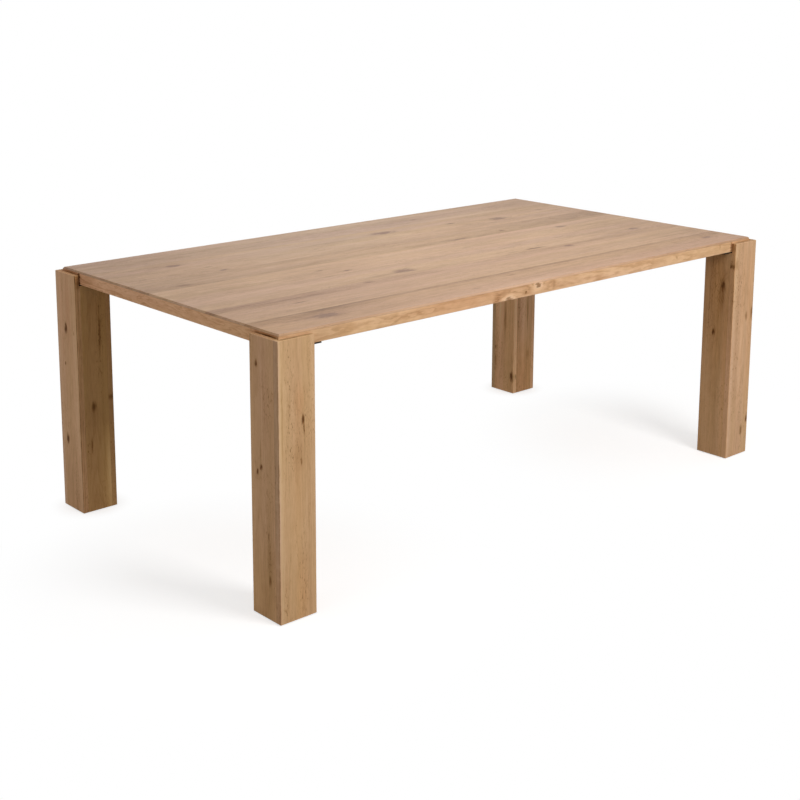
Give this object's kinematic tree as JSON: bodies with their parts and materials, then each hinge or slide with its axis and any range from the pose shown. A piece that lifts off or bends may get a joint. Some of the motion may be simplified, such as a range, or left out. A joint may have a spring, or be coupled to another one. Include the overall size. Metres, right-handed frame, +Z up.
{
  "type": "dining table",
  "caption": "Rectangular oak dining table: a board-faced, lipped top held by thick square box legs at its corners, whose outer boards rise into an L-shaped lip round the top.",
  "frame": {"origin": "on the floor under the middle of the top", "axes": "+X along the table's length, -Y the front long side, +Z up"},
  "size_m": [2, 1.1, 0.75],
  "materials": {
    "oak_face": "matt oiled oak boards with knots",
    "oak_lipping": "matt oiled solid oak strip",
    "oak_leg": "matt oiled solid oak boards with upright grain",
    "core_board": "raw particle board",
    "balance_veneer": "matt oak veneer",
    "leg_block": "raw hardwood",
    "hardwood_tongue": "raw beech",
    "black_steel": "matt black powder coat",
    "black_bolt": "black oxide",
    "zinc_steel": "zinc plated",
    "nylon_glide": "dark brown moulded nylon"
  },
  "bodies": {
    "root": {"top_board_1": "oak_face", "top_board_2": "oak_face", "top_board_3": "oak_face", "top_board_4": "oak_face", "top_board_5": "oak_face", "top_board_6": "oak_face", "top_board_7": "oak_face", "top_core_panel": "core_board", "top_balance_layer": "balance_veneer", "front_edge_lipping": "oak_lipping", "back_edge_lipping": "oak_lipping", "left_edge_lipping": "oak_lipping", "right_edge_lipping": "oak_lipping", "lipping_tongues": "hardwood_tongue", "front_left_leg_outer_side_board": "oak_leg", "front_left_leg_outer_end_board": "oak_leg", "front_left_leg_inner_end_board": "oak_leg", "front_left_leg_inner_side_board": "oak_leg", "front_left_leg_top_block": "leg_block", "front_left_leg_foot_block": "leg_block", "front_left_leg_glide": "nylon_glide", "front_left_leg_plate": "black_steel", "front_right_leg_outer_side_board": "oak_leg", "front_right_leg_outer_end_board": "oak_leg", "front_right_leg_inner_end_board": "oak_leg", "front_right_leg_inner_side_board": "oak_leg", "front_right_leg_top_block": "leg_block", "front_right_leg_foot_block": "leg_block", "front_right_leg_glide": "nylon_glide", "front_right_leg_plate": "black_steel", "back_left_leg_outer_side_board": "oak_leg", "back_left_leg_outer_end_board": "oak_leg", "back_left_leg_inner_end_board": "oak_leg", "back_left_leg_inner_side_board": "oak_leg", "back_left_leg_top_block": "leg_block", "back_left_leg_foot_block": "leg_block", "back_left_leg_glide": "nylon_glide", "back_left_leg_plate": "black_steel", "back_right_leg_outer_side_board": "oak_leg", "back_right_leg_outer_end_board": "oak_leg", "back_right_leg_inner_end_board": "oak_leg", "back_right_leg_inner_side_board": "oak_leg", "back_right_leg_top_block": "leg_block", "back_right_leg_foot_block": "leg_block", "back_right_leg_glide": "nylon_glide", "back_right_leg_plate": "black_steel", "leg_corner_tongues": "hardwood_tongue", "leg_plate_screws": "zinc_steel", "leg_block_inserts": "zinc_steel", "top_fixing_bolts": "black_bolt", "top_fixing_washers": "black_bolt", "top_fixing_inserts": "zinc_steel"}
  },
  "joints": []
}
